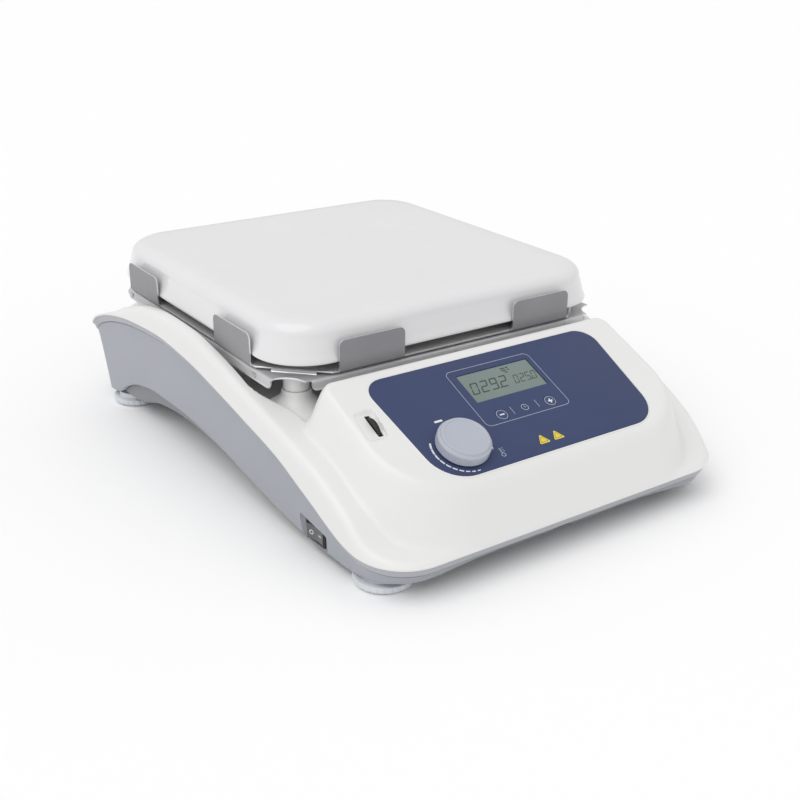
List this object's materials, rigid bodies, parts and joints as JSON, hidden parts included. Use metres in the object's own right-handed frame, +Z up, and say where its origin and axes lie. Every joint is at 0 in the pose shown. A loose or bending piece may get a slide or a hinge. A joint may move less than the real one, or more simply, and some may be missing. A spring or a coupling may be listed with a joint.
{
  "type": "magnetic stirrer",
  "caption": "Low bench magnetic stirrer: square white plate on sheet-metal tiers over a white housing with arched side walls and a sloping control console.",
  "frame": {"origin": "centre of the footprint on the bench", "axes": "+Z up, -Y towards the front console, +X to the right as seen from the front"},
  "size_m": [0.293, 0.382, 0.1233],
  "materials": {
    "white_plastic": "satin",
    "grey_plastic": "fine texture",
    "dark_grey_plastic": "satin",
    "black_plastic": "satin",
    "magnet_black": "coated",
    "pale_rubber": "matte",
    "blue_overlay": "fine texture",
    "relay_blue": "gloss",
    "knob_grey": "satin",
    "lcd_green": "gloss",
    "ceramic_white": "gloss",
    "satin_steel": "satin",
    "bright_steel": "bright",
    "circuit_board": "satin",
    "winding_copper": "satin",
    "insulation_wool": "fibrous",
    "alloy": "satin"
  },
  "bodies": {
    "housing": {"base_shell": "grey_plastic", "board_standoff_front_left": "bright_steel", "board_standoff_front_right": "bright_steel", "board_standoff_rear_left": "bright_steel", "board_standoff_rear_right": "bright_steel", "bottom_pan": "dark_grey_plastic", "clip_bracket": "satin_steel", "control_panel": "blue_overlay", "dial_holder": "dark_grey_plastic", "display_board": "circuit_board", "foot_front_left": "pale_rubber", "foot_front_right": "pale_rubber", "foot_rear_left": "pale_rubber", "foot_rear_right": "pale_rubber", "foot_screw_front_left": "bright_steel", "foot_screw_front_right": "bright_steel", "foot_screw_rear_left": "bright_steel", "foot_screw_rear_right": "bright_steel", "heat_sink": "alloy", "heating_element": "alloy", "inlet_pin_earth": "bright_steel", "inlet_pin_live": "bright_steel", "inlet_pin_neutral": "bright_steel", "insulation_pad": "insulation_wool", "lcd_module": "dark_grey_plastic", "lcd_window": "lcd_green", "mains_inlet": "black_plastic", "minus_key_switch": "black_plastic", "motor_bracket": "satin_steel", "plate_screw_front_left": "bright_steel", "plate_screw_front_right": "bright_steel", "plate_screw_rear_left": "bright_steel", "plate_screw_rear_right": "bright_steel", "plus_key_switch": "black_plastic", "potentiometer": "dark_grey_plastic", "power_board": "circuit_board", "relay": "relay_blue", "rocker_housing": "black_plastic", "stir_motor": "bright_steel", "support_tray": "satin_steel", "temperature_sensor": "bright_steel", "top_cover": "white_plastic", "top_plate": "ceramic_white", "transformer": "winding_copper", "tray_pillar_front_left": "bright_steel", "tray_pillar_front_right": "bright_steel", "tray_pillar_rear_left": "bright_steel", "tray_pillar_rear_right": "bright_steel"},
    "stir_rotor": {"motor_shaft": "bright_steel", "magnet_carrier": "alloy", "drive_magnet_left": "magnet_black", "drive_magnet_right": "magnet_black"},
    "knob": {"control_knob": "knob_grey", "knob_shaft": "bright_steel"},
    "minus_button": {"minus_key": "blue_overlay"},
    "plus_button": {"plus_key": "blue_overlay"},
    "limit_dial": {"safety_dial": "black_plastic"},
    "rocker": {"power_rocker": "dark_grey_plastic"},
    "fuse_holder": {"fuse_drawer": "dark_grey_plastic"}
  },
  "joints": [
    {"name": "stir_spin", "type": "hinge", "parent": "housing", "child": "stir_rotor", "pos_m": [0, 0.052, 0.075], "axis": [0, 0, 1], "continuous": true},
    {"name": "knob_turn", "type": "hinge", "parent": "housing", "child": "knob", "pos_m": [-0.0585, -0.15511, 0.06589], "axis": [0, 0.3907, -0.9205], "range_deg": [0, 285]},
    {"name": "minus_press", "type": "slide", "parent": "housing", "child": "minus_button", "axis": [0, 0.3907, -0.9205], "range_m": [0, 0.0005], "stiffness_N_per_m": 2000},
    {"name": "plus_press", "type": "slide", "parent": "housing", "child": "plus_button", "axis": [0, 0.3907, -0.9205], "range_m": [0, 0.0005], "stiffness_N_per_m": 2000},
    {"name": "limit_turn", "type": "hinge", "parent": "housing", "child": "limit_dial", "pos_m": [-0.097, -0.12177, 0.07179], "axis": [1, 0, 0], "range_deg": [0, 270]},
    {"name": "rocker_swing", "type": "hinge", "parent": "housing", "child": "rocker", "pos_m": [-0.12512, -0.112, 0.017], "axis": [0, 0, 1], "range_deg": [-16, 0]},
    {"name": "fuse_slide", "type": "slide", "parent": "housing", "child": "fuse_holder", "axis": [0, 0.949, -0.3153], "range_m": [0, 0.014]}
  ]
}
